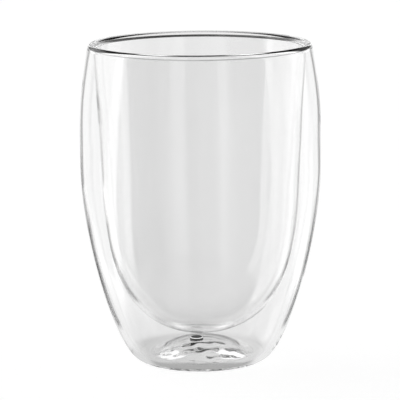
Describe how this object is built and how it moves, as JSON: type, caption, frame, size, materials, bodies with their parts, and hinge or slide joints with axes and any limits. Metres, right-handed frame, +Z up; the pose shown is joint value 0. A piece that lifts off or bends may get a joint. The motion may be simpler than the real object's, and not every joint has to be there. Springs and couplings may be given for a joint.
{
  "type": "double walled glass cup",
  "caption": "Tall double walled glass cup: a round-bottomed inner glass hangs from the lip inside a bellied outer glass with a pushed-up, vented base.",
  "frame": {"origin": "centre of the foot, on the plane that the cup stands on", "axes": "+Z up along the cup's axis; the vent is offset towards -X"},
  "size_m": [0.089, 0.089, 0.118],
  "materials": {
    "blown_glass": "clear, colourless blown borosilicate glass, fire-smooth on both sides",
    "lip_glass": "clear borosilicate glass, melted round and glossy at the lip",
    "silicone": "translucent grey silicone, matt"
  },
  "bodies": {
    "root": {"outer_jacket": "blown_glass", "inner_liner": "blown_glass", "lip_weld": "lip_glass", "vent_plug": "silicone"}
  },
  "joints": []
}
